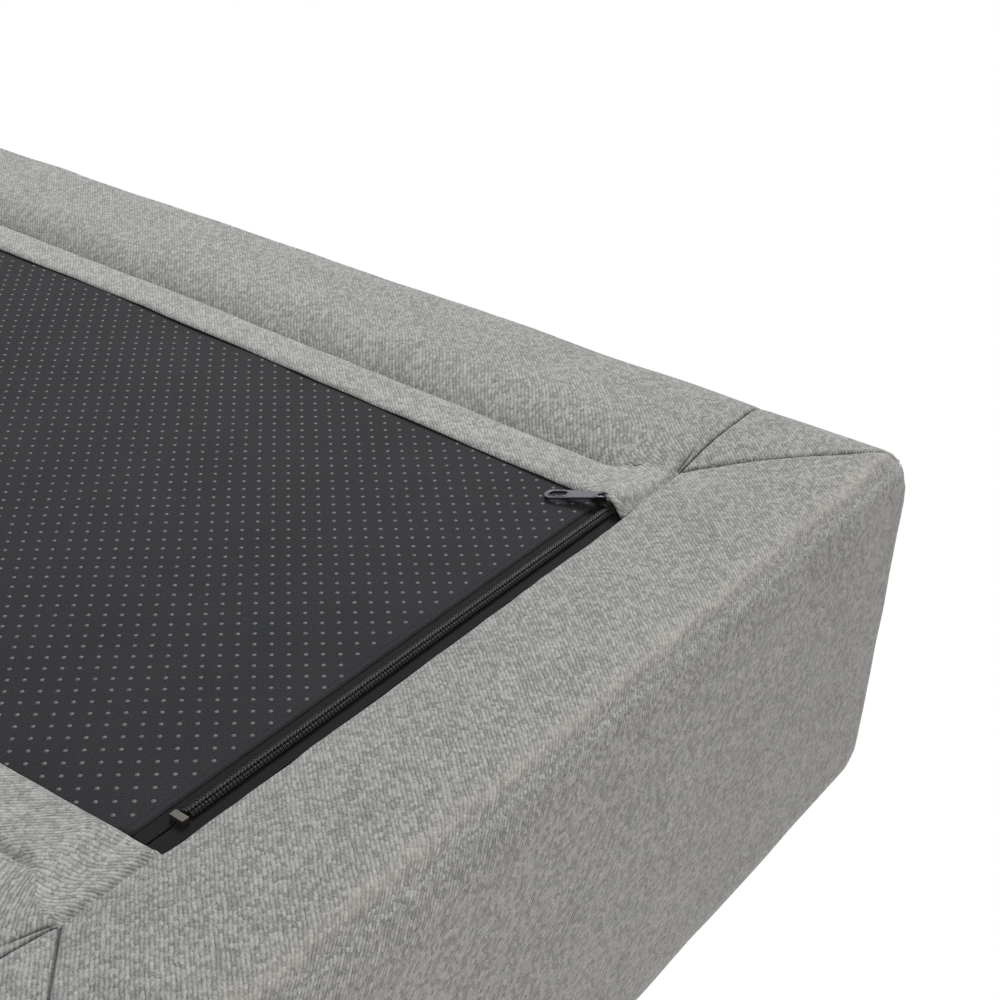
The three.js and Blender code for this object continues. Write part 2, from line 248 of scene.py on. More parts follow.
# ---- Cover: cut and sewn panels of grey twill ---------------------------------------------------
# Each panel is a piece of upholstery twill pulled over the foam. All are cut from one soft wedge:
# a dense box is rounded, its borders are puffed up round the recess in the underside, and every
# seam is drawn in where its thread holds it.
HALF_LENGTH, HALF_WIDTH = cad_box[1][0], cad_box[1][1]
TOE_HEIGHT, RISE = 45 * MM, 145 * MM
CREASE_Y = -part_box("lip_right")[0].y + SEAM_GAP
TOE_CREASE_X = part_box("lip_toe")[0].x - SEAM_GAP
TOE_EDGE, END_EDGE_LOW, END_EDGE_TOP = 16, 18, 44
RIDGE_INSET = 10 * MM
BESIDE_SEAM = [0, 0.35, 0.8, 1.6, 3.0, 5.5]
CLOTH = 1.2 * MM
fork = Vector((zip_grey_edge, CREASE_Y, 0))
toe_fork = Vector((TOE_CREASE_X, CREASE_Y, 0))
gather_start = Vector((zip_grey_edge - 1.1 * MM, CREASE_Y - 0.5 * MM, 0))
gather_end = Vector((315.8 * MM, 202 * MM, 0))


def smooth(value, low, high):
    part = min(max((value - low) / (high - low), 0), 1)
    return part * part * (3 - 2 * part)


def tread_height(x):
    return TOE_HEIGHT + RISE * (x + HALF_LENGTH) / (2 * HALF_LENGTH)


def grid_lines(first, last, step, seams):
    """Places of the grid lines from first to last, closer together beside each seam."""
    count = round((last - first) / step)
    even = [first + (last - first) * i / count for i in range(count + 1)]
    near = {round(seam + side * f * MM, 6) for seam in seams for f in BESIDE_SEAM for side in (-1, 1)}
    kept = {round(v, 6) for v in even if all(abs(v - seam) > 8 * MM for seam in seams)}
    return sorted(kept | {v for v in near if first <= v <= last})


def dense_box():
    """A box of quads whose lines gather at the seams. Its height runs from 0 to 1."""
    xs = grid_lines(-HALF_LENGTH, HALF_LENGTH, 6 * MM,
                    [-HALF_LENGTH, TOE_CREASE_X, zip_grey_edge, HALF_LENGTH - RIDGE_INSET, HALF_LENGTH])
    ys = grid_lines(-HALF_WIDTH, HALF_WIDTH, 6 * MM, [-HALF_WIDTH, -CREASE_Y, CREASE_Y, HALF_WIDTH])
    beside_edge = {1 - f / 150 for f in (0, 0.5, 1.2, 2.4, 4.5, 8)} | {f / 150 for f in (2, 4)}
    zs = sorted({i / 26 for i in range(25)} | beside_edge)
    form = bmesh.new()
    bmesh.ops.create_cube(form, size=2)
    for axis, places in enumerate((xs, ys, zs)):
        edges = [e for e in form.edges if abs(e.verts[0].co[axis] - e.verts[1].co[axis]) > 1]
        bmesh.ops.subdivide_edges(form, edges=edges, cuts=len(places) - 2, use_grid_fill=True)
    for vert in form.verts:
        for axis, places in enumerate((xs, ys, zs)):
            vert.co[axis] = places[round((vert.co[axis] + 1) / 2 * (len(places) - 1))]
    return form


def cut_underside(form, start, end, offsets):
    """Cuts a slanted line into the underside, with further lines beside it."""
    across = Vector((start.y - end.y, end.x - start.x, 0)).normalized()
    middle, reach = (start + end) / 2, (end - start) / 2
    for offset in offsets:
        near = []
        for face in form.faces:
            centre = face.calc_center_median()
            if (centre.z < 1e-5 and abs(centre.x - middle.x) <= abs(reach.x) + 2 * MM
                    and abs(centre.y - middle.y) <= abs(reach.y) + 2 * MM):
                near.append(face)
        around = list({e for f in near for e in f.edges} | {v for f in near for v in f.verts})
        bmesh.ops.bisect_plane(form, geom=near + around, dist=1e-6,
                               plane_co=start + across * offset * MM, plane_no=across)


def puffed(distance, depth, run):
    """A padded border that rises steeply out of its crease and levels off after run."""
    if distance < 0:
        return depth - 0.5 * distance
    return depth * max(1 - distance / run, 0) ** 2


def border_height(x, y):
    """How far the underside stands off the floor: low on the borders, deep at the creases."""
    out = abs(y) - CREASE_Y
    past_zip = x - zip_grey_edge
    beside_lip = puffed(out, 9.8 * MM, 21 * MM)
    at_corner = 5.6 * MM * max(1 - out / (45 * MM), 0) ** 2
    side = beside_lip + (at_corner - beside_lip) * smooth(x, 286 * MM, 306 * MM)
    at_tape = 7.4 - 1.8 * smooth(abs(y), 126 * MM, 140 * MM)
    end = at_tape * MM * max(1 - past_zip / (49 * MM), 0) ** 2.2
    toe = puffed(TOE_CREASE_X - x, 8.8 * MM, 22 * MM)
    return min(side, end, toe)


def flank_reach(x):
    """How far the side border's flank leans in over the lip's sewn edge: nothing at the zip."""
    lean = (3.5 + 7.5 * max(x, 0) / (280 * MM)) * MM
    return lean * (1 - smooth(x, 292 * MM, 313 * MM)) * smooth(x, TOE_CREASE_X, 0)


def rounded(x, y, t):
    """Where a point of the box lies on the soft wedge, which is roundest at the top of its high end."""
    run = (x + HALF_LENGTH) / (2 * HALF_LENGTH)
    radius = (TOE_EDGE + run * (END_EDGE_LOW - TOE_EDGE + (END_EDGE_TOP - END_EDGE_LOW) * t)) * MM
    top = tread_height(x)
    core = Vector((max(min(x, HALF_LENGTH - radius), radius - HALF_LENGTH),
                   max(min(y, HALF_WIDTH - radius), radius - HALF_WIDTH),
                   max(min(t * top, top - radius), radius)))
    way = Vector((x, y, t * top)) - core
    return core + way.normalized() * radius if way.length > 1e-9 else core


def past_mitre(x, y, inner):
    """Beyond a corner's mitre seam: over 0 on the side panel's side, under 0 on the end panel's."""
    end_x = math.copysign(HALF_LENGTH, inner.x)
    along = Vector((abs(end_x - inner.x), HALF_WIDTH - inner.y)).normalized()
    here = Vector((abs(x) - abs(inner.x), abs(y) - inner.y))
    return here.y * along.x - here.x * along.y


def panel_of(centre, normal):
    x, y, t = centre
    side = "right" if y < 0 else "left"
    if normal.z > 0.5:
        return "tread_panel"
    if t > 1e-5:
        if abs(normal.x) > 0.5:
            return "high_end_panel" if x > 0 else "toe_panel"
        return ("corner_gusset_" if x > zip_grey_edge else "side_panel_") + side
    if x > zip_grey_edge:
        return "corner_gusset_" + side if past_mitre(x, y, fork) > 0 else "high_end_panel"
    if x < TOE_CREASE_X and past_mitre(x, y, toe_fork) < 0:
        return "toe_panel"
    return "side_panel_" + side if abs(y) > CREASE_Y else "opening"


def to_segment(x, y, start, end):
    along = end - start
    part = max(min(Vector((x - start.x, y - start.y, 0)).dot(along) / along.length_squared, 1), 0)
    return (Vector((x, y, 0)) - start - along * part).length


def seam_distance(x, y, t, panel):
    """Distance to the panel's nearest sewn edge, measured on the box."""
    if panel == "tread_panel":
        return min(HALF_LENGTH - abs(x), HALF_WIDTH - abs(y))
    found = [tread_height(x) * (1 - t)]
    if t > 1e-5:
        if abs(abs(y) - HALF_WIDTH) < 1e-6:
            found += [HALF_LENGTH + x, HALF_LENGTH - x, abs(x - zip_grey_edge)]
        else:
            found.append(HALF_WIDTH - abs(y))
        return min(found)
    if x > zip_grey_edge - 1e-6:
        found += [x - zip_grey_edge, abs(past_mitre(x, y, fork)) if abs(y) > CREASE_Y - 1e-6 else 1]
    elif x > 0:
        found.append(zip_grey_edge - x)
        faded = to_segment(x, abs(y), gather_start, gather_end)
        found.append(faded + 1.3 * MM * smooth(abs(y), 182 * MM, 203 * MM))
    if x < TOE_CREASE_X + 1e-6 and abs(y) > CREASE_Y - 1e-6:
        found.append(abs(past_mitre(x, y, toe_fork)))
    return min(found)


def bulge(x, y, t, panel):
    """How far the padding pushes a panel out between its seams."""
    def arch(value, half):
        return max(1 - (value / half) ** 2, 0)

    place = Vector((x, y, t * 0.2))
    soft = 1.3 * MM * noise.noise(place * 11) + 0.5 * MM * noise.noise(place * 34)
    if panel == "tread_panel":
        return soft + 5 * MM * (arch(x, HALF_LENGTH) * arch(y, HALF_WIDTH)) ** 0.7
    if t < 1e-5:
        return soft * 0.6
    wall = math.sin(math.pi * min(t, 1)) + 0.15
    if panel == "high_end_panel":
        return soft + 3.5 * MM * wall * arch(y, HALF_WIDTH)
    return soft * 0.5 if panel == "toe_panel" else soft + 4.5 * MM * wall * arch(x, HALF_LENGTH)


def sew_cover():
    form = dense_box()
    for side in (-1, 1):
        to_side = Matrix.Diagonal((1, side, 1))
        beside = [s * f for f in (0.5, 1.2, 2.5) for s in (-1, 1)]
        cut_underside(form, to_side @ fork, Vector((HALF_LENGTH, side * HALF_WIDTH, 0)), [0, *beside])
        cut_underside(form, to_side @ toe_fork, Vector((-HALF_LENGTH, side * HALF_WIDTH, 0)), [0, *beside])
        cut_underside(form, to_side @ gather_start, to_side @ gather_end, [0, -0.9, -0.4, 0.4, 0.9])
    panel_layer = form.faces.layers.int.new("panel")
    seam_layer = form.verts.layers.float.new("seam")
    ridge_wear_highlight_layer = form.verts.layers.float.new("brushed")
    weave = form.loops.layers.uv.new("weave")
    form.normal_update()
    for face in form.faces:
        panel = panel_of(face.calc_center_median(), face.normal)
        face[panel_layer] = panels.index(panel)
        face.smooth = True
        under = face.normal.z < -0.5
        for loop in face.loops:
            x, y, t = loop.vert.co
            drop = 0 if under or panel == "tread_panel" else t * tread_height(x)
            if panel in ("high_end_panel", "toe_panel"):
                loop[weave].uv = (y, x + math.copysign(drop, x))
            else:
                loop[weave].uv = (y + math.copysign(drop, y), x)
    bmesh.ops.delete(form, geom=[f for f in form.faces if f[panel_layer] == 0], context="FACES")
    on_box = {}
    for vert in form.verts:
        x, y, t = vert.co
        touching = {panels[f[panel_layer]] for f in vert.link_faces}
        on_box[vert] = (x, y, t, min(touching - {"tread_panel"} or touching))
        vert.co = rounded(x, y, t)
        if t < 1e-5:
            vert.co.z += border_height(x, y)
            out = abs(y) - CREASE_Y
            vert.co.y -= math.copysign(flank_reach(x) * math.exp(-(max(out, 0) / (16 * MM)) ** 2), y)
    form.normal_update()
    for vert, (x, y, t, panel) in on_box.items():
        distance = seam_distance(x, y, t, panel)
        vert[seam_layer] = distance / MM
        stitched = 1.5 * MM * math.exp(-(distance / (0.7 * MM)) ** 2)
        groove = stitched + 0.8 * MM * math.exp(-distance / (4 * MM))
        gathers = 0.5 * MM * math.exp(-distance / (7 * MM)) * min(distance / (0.8 * MM), 1)
        gathers *= noise.noise(vert.co * 160)
        standing = 1.0 * MM if t > 1e-5 else 0
        # Along the ridge at the high end the cloth is marked warm and light: partly brushed, worn fibres
        # and partly a painted highlight where the ridge catches the light. The same band also rolls the
        # cloth out a little.
        from_ridge = HALF_LENGTH - RIDGE_INSET - x + 2.2 * MM * noise.noise(Vector((2, y * 38, 1)))
        fall = 6.0 * MM if from_ridge > 0 else 3.2 * MM
        brushed = math.exp(-(from_ridge / fall) ** 2) * (0.8 + 0.6 * noise.noise(Vector((0, y * 75, 1))))
        vert[ridge_wear_highlight_layer] = brushed if t < 1e-5 else 0
        rolled = 1.2 * MM * vert[ridge_wear_highlight_layer]
        push = standing + bulge(x, y, t, panel) * min(distance / (14 * MM), 1) + gathers + rolled - groove
        if t < 1e-5 and abs(y) < 134 * MM:
            wander = 0.9 * MM * noise.noise(Vector((5, y * 45, 1)))
            vert.co.x += wander * math.exp(-abs(x - zip_grey_edge) / (3 * MM))
        vert.co += vert.normal * push
    return form


def add_piece(name, form, body, material=None):
    """Makes a piece of a finished bmesh and lets it ride on a body."""
    mesh = bpy.data.meshes.new(name)
    form.to_mesh(mesh)
    form.free()
    made = bpy.data.objects.new(name, mesh)
    bpy.context.scene.collection.objects.link(made)
    if material:
        mesh.materials.append(material)
    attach(made, body)
    return made


def twill():
    """Grey melange twill: slanted ribs of light and dark yarn, matt, with a little fuzz."""
    cloth = Finish("grey_twill", 0.93, Sheen_Weight=0.3, Sheen_Roughness=0.55)
    u, v, _ = cloth.split(cloth.uv("weave"))
    slant = math.radians(49)
    along = u * math.cos(slant) + v * math.sin(slant)
    across = v * math.cos(slant) - u * math.sin(slant)
    rib = across / (1.44 * MM) + cloth.noise(cloth.join(u, v), 90, 2.0) * 1.2
    stitch = along / (1.9 * MM) + cloth.chance(cloth.join(rib.floor(), 3.0)) * 7.0
    yarn = cloth.chance(cloth.join(rib.floor(), stitch.floor(), 1.0))
    round_rib = (rib.fraction() * math.pi).sine()
    round_stitch = (stitch.fraction() * math.pi).sine()
    fleck = cloth.noise(cloth.join(along * 0.45, across), 1700, 2.0, 0.7)
    cloud = cloth.noise(cloth.join(u, v), 26, 3.0, 0.6)
    mottle = cloth.noise(cloth.join(u, v), 210, 2.0, 0.6)
    # The lips' pale tint is a painted highlight: the same twill made lighter where the lips catch more
    # light than the borders.
    pale = cloth.node("ShaderNodeAttribute", {"attribute_name": "pale"}, output=2)
    shade = (0.42 + pale * 0.055 + (yarn - 0.5) * 0.25 + (fleck - 0.5) * 0.92 + (cloud - 0.5) * 0.12
             + (mottle - 0.5) * 0.18 + (round_rib - 0.6) * 0.17)
    colour = cloth.node("ShaderNodeValToRGB", {"stops": [
        (0.0, (0.07, 0.071, 0.072)), (0.3, (0.20, 0.201, 0.20)),
        (0.5, (0.36, 0.358, 0.35)), (1.0, (0.74, 0.73, 0.71))]}, {0: shade})
    seam = cloth.node("ShaderNodeAttribute", {"attribute_name": "seam"}, output=2)
    # The band along the high end's ridge turns patchily warm and light: partly worn fibres and partly a
    # painted highlight on the ridge.
    brushed = cloth.node("ShaderNodeAttribute", {"attribute_name": "brushed"}, output=2)
    patches = cloth.noise(cloth.join(u, v), 260, 3.0, 0.7).step(0.36, 0.66)
    worn_and_highlit = cloth.mix((brushed * (0.10 + patches * 0.30)).smallest(1.0), colour, (0.58, 0.54, 0.455))
    shadowed = cloth.mix(seam.step(0.15, 0.75), cloth.tint(worn_and_highlit, 0.32), worn_and_highlit)
    height = round_rib * 0.45 + round_stitch * round_rib * 0.35 + fleck * 0.9
    return cloth.set(Base_Color=shadowed, Normal=cloth.bump(height, 0.35 * MM, 0.9))


panels = ["opening", "tread_panel", "high_end_panel", "toe_panel", "side_panel_left", "side_panel_right",
          "corner_gusset_left", "corner_gusset_right"]
grey_twill = twill()
sewn = sew_cover()
for index, name in enumerate(panels[1:], 1):
    cut = sewn.copy()
    others = [f for f in cut.faces if f[cut.faces.layers.int["panel"]] != index]
    bmesh.ops.delete(cut, geom=others, context="FACES")
    panel = add_piece("twill_" + name, cut, "cover", grey_twill)
    thick = panel.modifiers.new("cloth", "SOLIDIFY")
    thick.thickness, thick.offset = CLOTH, -1
    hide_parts(name)


# ---- Wadding: fibre inside the borders ----------------------------------------------------------
# A ring of polyester fibre under the borders of the underside, which makes them stand round the
# panel. It lies against the inside of the cover and doesn't show.
fibre = Finish("fibre_wadding", 1.0, Sheen_Weight=0.4)
strands = fibre.noise(fibre.place(), 900, 4.0, 0.7)
white = fibre.mix(strands, (0.66, 0.66, 0.64), (0.9, 0.9, 0.88))
fibre.set(Base_Color=white, Normal=fibre.bump(strands, 0.8 * MM))
ring = sewn.copy()
for vert in ring.verts:
    vert.co -= vert.normal * (CLOTH + 0.6 * MM)
above = [f for f in ring.faces if f.normal.z > -0.5 or f[ring.faces.layers.int["panel"]] == 1]
bmesh.ops.delete(ring, geom=above, context="FACES")
wadding = add_piece("fibre_ring", ring, "cover", fibre.material)
loft = wadding.modifiers.new("loft", "SOLIDIFY")
loft.thickness, loft.offset = 3 * MM, -1
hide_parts("border_wadding")
sewn.free()


# ---- Foam: a soft layer on a firm wedge ---------------------------------------------------------
# Cut open-cell polyurethane foam, glued in two layers. The cover is pulled over it and hides it.
def cut_foam(name, light, dark):
    foam = Finish(name, 0.9)
    cells = foam.node("ShaderNodeTexVoronoi", None, {"Vector": foam.place(), "Scale": 900.0})
    tone = foam.noise(foam.place(), 60, 3.0)
    colour = foam.mix(cells * 0.6 + tone * 0.4, dark, light)
    return foam.set(Base_Color=colour, Normal=foam.bump(cells, 0.5 * MM))


for node, material in (("foam_core", cut_foam("firm_foam", (0.72, 0.65, 0.42), (0.55, 0.47, 0.26))),
                       ("comfort_foam", cut_foam("soft_foam", (0.86, 0.8, 0.64), (0.7, 0.62, 0.45)))):
    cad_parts[node].data.materials.clear()
    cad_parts[node].data.materials.append(material)


# ---- Lips: folded facing strips round the anti-slip panel ---------------------------------------
# A strip of the same twill sewn into the crease and folded back over the panel's raw edge.
# The right one's end is lifted over the parked slider and folded down into the zip's seam.
CORNER_Y = 132 * MM
TAPER_X = zip_grey_edge - 344 * MM
slider_spot = Vector((312 * MM, -137 * MM, 0))
LIFT, LIFT_AHEAD, LIFT_BEHIND, LIFT_ACROSS = 5.4 * MM, 12, 8, 12
CREASES = [(Vector((303 * MM, 152.6 * MM, 0)), Vector((317 * MM, 152.2 * MM, 0)), 1.3 * MM),
           (Vector((303 * MM, 165 * MM, 0)), Vector((297 * MM, 178 * MM, 0)), 1.4 * MM)]


def lip_width(x):
    full = CREASE_Y - CORNER_Y
    return full - 14 * MM * min((zip_grey_edge - x) / (zip_grey_edge - TAPER_X), 1)


def lip_profile(width, crease, crown, bed):
    """Places across the strip: distance from the crease, and height over the floor, in mm."""
    sewn = [(-3.0, crease + 0.9), (-0.9, crease + 0.2), (0.2, crease - 0.3),
            (0.9, crease * 0.5 + crown * 0.5)]
    flat = [(3.4, crown + 0.1), (width * 0.3, crown - 0.1), (width * 0.62, crown + 0.25),
            (width - 5, crown - 0.1)]
    fold = [(width - 2.2, crown + 0.2), (width - 0.7, crown + 1.0), (width, crown + 1.9)]
    under = [(width - 0.4, crown * 0.3 + bed * 0.7), (width - 2.2, bed), (width - 6, bed + 0.1)]
    return sewn + flat + fold + under


def lip_strip(name, stations, shape):
    """A strip over a grid: shape(station) gives its profile, and where a point of it lies."""
    strip = bmesh.new()
    across = len(lip_profile(1, 1, 1, 1))
    bmesh.ops.create_grid(strip, x_segments=len(stations) - 1, y_segments=across - 1, size=1)
    weave = strip.loops.layers.uv.new("weave")
    seam_layer = strip.verts.layers.float.new("seam")
    lip_highlight_layer = strip.verts.layers.float.new("pale")
    shapes = [shape(station) for station in stations]
    girth = {}
    for vert in strip.verts:
        column = round((vert.co.x + 1) / 2 * (len(stations) - 1))
        row = round((vert.co.y + 1) / 2 * (across - 1))
        profile, place_at = shapes[column]
        distance, height = profile[row]
        girth[vert] = (stations[column], sum(math.hypot(b[0] - a[0], b[1] - a[1])
                                             for a, b in zip(profile[:row], profile[1:row + 1])) * MM)
        vert.co = place_at(distance * MM, height * MM)
        # Every point of a lip gets the pale tint, which is a painted highlight.
        vert[seam_layer], vert[lip_highlight_layer] = 2.0, 1.0
    for face in strip.faces:
        face.smooth = True
        for loop in face.loops:
            loop[weave].uv = reversed(girth[loop.vert])
    strip.normal_update()
    if sum(f.normal.z * f.calc_area() for f in strip.faces) > 0:
        bmesh.ops.reverse_faces(strip, faces=strip.faces[:])
    lip = add_piece("twill_" + name, strip, "cover", grey_twill)
    lip.modifiers.new("round", "SUBSURF").levels = 1
    lip.modifiers["round"].render_levels = 1
    thick = lip.modifiers.new("cloth", "SOLIDIFY")
    thick.thickness, thick.offset = 0.8 * MM, -1
    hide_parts(name)
    cut_widths = [max(width for station, width in girth.values() if station == s) for s in stations]
    flat = (stations[-1] - stations[0], max(cut_widths))
    cut_area = flat[0] * sum(cut_widths) / len(cut_widths)


def slider_lift(x, y):
    """How far the right lip stands up over the parked slider: a hump that falls off towards the zip."""
    past_slider = x - slider_spot.x
    reach = Vector((past_slider / (LIFT_AHEAD if past_slider > 0 else LIFT_BEHIND),
                    (y - slider_spot.y) / LIFT_ACROSS)) / MM
    return LIFT * math.exp(-reach.length_squared) * (1 - 0.7 * smooth(x, 315.5 * MM, 320.5 * MM))


def side_lip(side):
    def shape(x):
        width = lip_width(x) / MM
        near_zip = smooth(x, 286 * MM, 306 * MM)
        into_seam = smooth(x, 316.5 * MM, 321 * MM)
        over_slider = math.exp(-((x - slider_spot.x) / (10 * MM)) ** 2) if side < 0 else 0
        tucked = flank_reach(x) / MM
        crease = 8.9 - 3.4 * near_zip + 2.0 * into_seam
        crown = 6.1 + 0.35 * noise.noise(Vector((x * 22, side, 0))) + 2.2 * into_seam
        profile = lip_profile(width - tucked, crease, crown, 8.7 + (crown + 1.3 - 8.7) * over_slider)
        profile = [(distance + tucked, height) for distance, height in profile]

        def place_at(distance, height):
            y = side * (CREASE_Y - distance)
            here = Vector((x, y, side))
            soft = 0.45 * MM * noise.noise(here * 45) + 0.2 * MM * noise.noise(here * 130)
            wave = 0.8 * MM * noise.noise(Vector((x * 18, side * 3, 2)))
            wave *= smooth(distance, 12 * MM, 26 * MM)
            lifted = 0
            if side < 0:
                lifted = slider_lift(x, y)
                wave += 3.2 * MM * smooth(x, 306 * MM, 317 * MM) * smooth(distance, 26 * MM, 38 * MM)
                soft += 1.1 * MM * sum(math.exp(-(to_segment(x, -y, start, end) / wide) ** 2)
                                       for start, end, wide in CREASES)
            return Vector((x, side * (CREASE_Y - distance - wave), max(height - lifted + soft, -0.4 * MM)))

        return profile, place_at
    first, last = TOE_CREASE_X - 2 * MM, zip_grey_edge + 0.7 * MM
    stations = [first + i * 5 * MM for i in range(int((last - 60 * MM - first) / (5 * MM)))]
    stations += [last - i * 1.25 * MM for i in range(47, -1, -1)]
    lip_strip("lip_" + ("right" if side < 0 else "left"), stations, shape)


def toe_lip():
    def shape(y):
        profile = lip_profile(25, 8.4, 6.1 + 0.3 * noise.noise(Vector((y * 22, 0, 4))), 8.7)

        def place_at(distance, height):
            soft = 0.35 * MM * noise.noise(Vector((distance, y, 3)) * 45)
            return Vector((TOE_CREASE_X + distance, y, height + soft))

        return profile, place_at
    half = CREASE_Y - 24 * MM
    count = 60
    stations = [-half + 2 * half * i / count for i in range(count + 1)]
    lip_strip("lip_toe", stations, shape)


# ---- Anti-slip panel: charcoal fabric with printed grip dots ------------------------------------
# A charcoal woven fabric with small raised dots of grey silicone in slanted rows. Its edges run
# under the lips, and beside the zip it is folded back and sewn down over the tape.
PANEL_FRONT = panel_high.x
PANEL_BACK = panel_low.x
PANEL_RISE = panel_low.z


def panel_height(x, y):
    """The fabric lies on the foam: a little crowned, uneven, and folded under at the zip."""
    half = CREASE_Y - lip_width(x)
    crowned = 1.0 * MM * max(1 - (y / half) ** 2, 0) * max(1 - (x / PANEL_FRONT) ** 2, 0) ** 0.5
    place = Vector((x, y, 0))
    uneven = 0.5 * MM * noise.noise(place * 14) + 0.14 * MM * noise.noise(place * 60)
    to_fold = PANEL_FRONT - x
    sewn_line = 0.25 * MM * math.exp(-((to_fold - 2.6 * MM) / (0.6 * MM)) ** 2)
    rolled = 0.9 * MM * max(1 - to_fold / (1.6 * MM), 0) ** 2
    return PANEL_RISE - crowned - uneven * min(to_fold / (60 * MM), 1) - 0.35 * MM + sewn_line + rolled


def charcoal():
    fabric = Finish("charcoal_anti_slip", 0.85, Sheen_Weight=0.04, Sheen_Roughness=0.4,
                    Specular_IOR_Level=0.25)
    u, v, _ = fabric.split(fabric.uv("weave"))
    warp = (u / (0.55 * MM) * math.pi).sine()
    weft = (v / (0.55 * MM) * math.pi).sine()
    basket = warp * weft
    fleck = fabric.noise(fabric.join(u * 0.6, v), 1500, 2.0, 0.65)
    cloud = fabric.noise(fabric.join(u, v), 22, 2.0)
    shade = 0.5 + basket * 0.12 + (fleck - 0.5) * 0.9 + (cloud - 0.5) * 0.25
    colour = fabric.mix(shade.largest(0.0).smallest(1.0), (0.004, 0.005, 0.006), (0.048, 0.050, 0.056))
    return fabric.set(Base_Color=colour, Normal=fabric.bump(basket * 0.5 + fleck, 0.25 * MM, 0.8))


EVEN_ROWS, ROWS_ACROSS = 110, 60
TO_FOLD = [30, 25, 20, 16, 12.5, 9.5, 7, 5, 4, 3.4, 3, 2.6, 2.2, 1.8, 1.3, 0.9, 0.5, 0.2, 0]
even_length = PANEL_FRONT - TO_FOLD[0] * MM - PANEL_BACK
along = [PANEL_BACK + even_length * i / EVEN_ROWS for i in range(EVEN_ROWS)]
along += [PANEL_FRONT - step * MM for step in TO_FOLD]
fabric_form = bmesh.new()
bmesh.ops.create_grid(fabric_form, x_segments=len(along) - 1, y_segments=ROWS_ACROSS, size=1)
weave = fabric_form.loops.layers.uv.new("weave")
for vert in fabric_form.verts:
    x = along[round((vert.co.x + 1) / 2 * (len(along) - 1))]
    y = vert.co.y * (CREASE_Y - lip_width(x) + 3.5 * MM * (1 if x < 300 * MM else 0.1))
    vert.co = (x, y, panel_height(x, y))
for face in fabric_form.faces:
    face.smooth = True
    for loop in face.loops:
        loop[weave].uv = loop.vert.co.xy
bmesh.ops.reverse_faces(fabric_form, faces=fabric_form.faces[:])
anti_slip = add_piece("anti_slip_panel", fabric_form, "cover", charcoal())
thick = anti_slip.modifiers.new("cloth", "SOLIDIFY")
thick.thickness, thick.offset = 0.8 * MM, -1
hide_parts("base_panel")
side_lip(-1)
side_lip(1)
toe_lip()


def repeated(form, step, doublings):
    """Copies a small form along a step, doubling the row each time."""
    for doubling in range(doublings):
        again = bmesh.ops.duplicate(form, geom=form.verts[:] + form.edges[:] + form.faces[:])
        copied = [item for item in again["geom"] if isinstance(item, bmesh.types.BMVert)]
        bmesh.ops.translate(form, verts=copied, vec=step * 2 ** doubling)


rubber = Finish("silicone_dots", 0.6)
smear = rubber.noise(rubber.place(), 1100, 3.0, 0.7)
rubber.set(Base_Color=rubber.mix(smear.step(0.25, 0.75), (0.07, 0.073, 0.078), (0.19, 0.193, 0.198)),
           Normal=rubber.bump(smear, 0.15 * MM))
dot_step, dot_rise = Vector((4.93, -4.09, 0)) * MM, Vector((4.66, 4.80, 0)) * MM
DOT_DOUBLINGS = 7
dots = bmesh.new()
bmesh.ops.create_cone(dots, cap_ends=True, cap_tris=True, segments=7,
                      radius1=0.92 * MM, radius2=0.4 * MM, depth=0.3 * MM)
bmesh.ops.delete(dots, geom=[f for f in dots.faces if f.normal.z < -0.9], context="FACES")
bmesh.ops.rotate(dots, verts=dots.verts[:], matrix=Matrix.Rotation(math.pi, 3, "X"))
bmesh.ops.translate(dots, verts=dots.verts[:], vec=-2 ** (DOT_DOUBLINGS - 1) * (dot_step + dot_rise))
repeated(dots, dot_step, DOT_DOUBLINGS)
repeated(dots, dot_rise, DOT_DOUBLINGS)
sheared = Matrix(((dot_step.x, dot_rise.x), (dot_step.y, dot_rise.y))).inverted()
outside = []
for vert in dots.verts:
    cell = sheared @ vert.co.xy
    centre = dot_step * round(cell.x) + dot_rise * round(cell.y)
    if (abs(centre.y) > CREASE_Y - lip_width(centre.x) - 1 * MM
            or not PANEL_BACK + 2 * MM < centre.x < PANEL_FRONT - 3.4 * MM):
        outside.append(vert)
    vert.co.z += panel_height(vert.co.x, vert.co.y) - 0.12 * MM
bmesh.ops.delete(dots, geom=outside, context="VERTS")
for face in dots.faces:
    face.smooth = True
add_piece("grip_dots", dots, "cover", rubber.material)


# ---- Zip: woven tapes and nylon coils -----------------------------------------------------------
# Two black woven nylon tapes, each with a moulded nylon coil sewn along its edge. The turns of
# one coil lock between the turns of the other, and make one rounded chain with a ridge.
tape_cloth = Finish("zip_tape_weave", 0.7, Sheen_Weight=0.03, Sheen_Roughness=0.3, Specular_IOR_Level=0.2)
tape_place = tape_cloth.split(tape_cloth.place())
herringbone = ((tape_place[1] + (tape_place[0] * 2.0).absolute()) / (0.42 * MM) * math.pi).sine()
threads = (tape_place[0] / (0.3 * MM) * math.pi).sine()
lint = tape_cloth.noise(tape_cloth.place(), 1600, 2.0)
weave_shade = 0.5 + herringbone * threads * 0.2 + (lint - 0.5) * 0.6
tape_cloth.set(Base_Color=tape_cloth.mix(weave_shade, (0.003, 0.003, 0.004), (0.014, 0.014, 0.017)),
               Normal=tape_cloth.bump(herringbone * 0.5 + threads * 0.5, 0.12 * MM))
for node in ("zip_tape_border", "zip_tape_panel"):
    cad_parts[node].data.materials.clear()
    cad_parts[node].data.materials.append(tape_cloth.material)

nylon = Finish("nylon_coil", 0.36, Specular_IOR_Level=0.6)
wear = nylon.noise(nylon.place(), 500, 3.0)
nylon.set(Base_Color=nylon.mix(wear, (0.006, 0.006, 0.008), (0.030, 0.030, 0.035)),
          Roughness=nylon.node("ShaderNodeMapRange", None, {"Value": wear, "To Min": 0.24, "To Max": 0.46}))
CHAIN_X = zip_grey_edge - 8 * MM
TURN_PITCH = 1.6 * MM


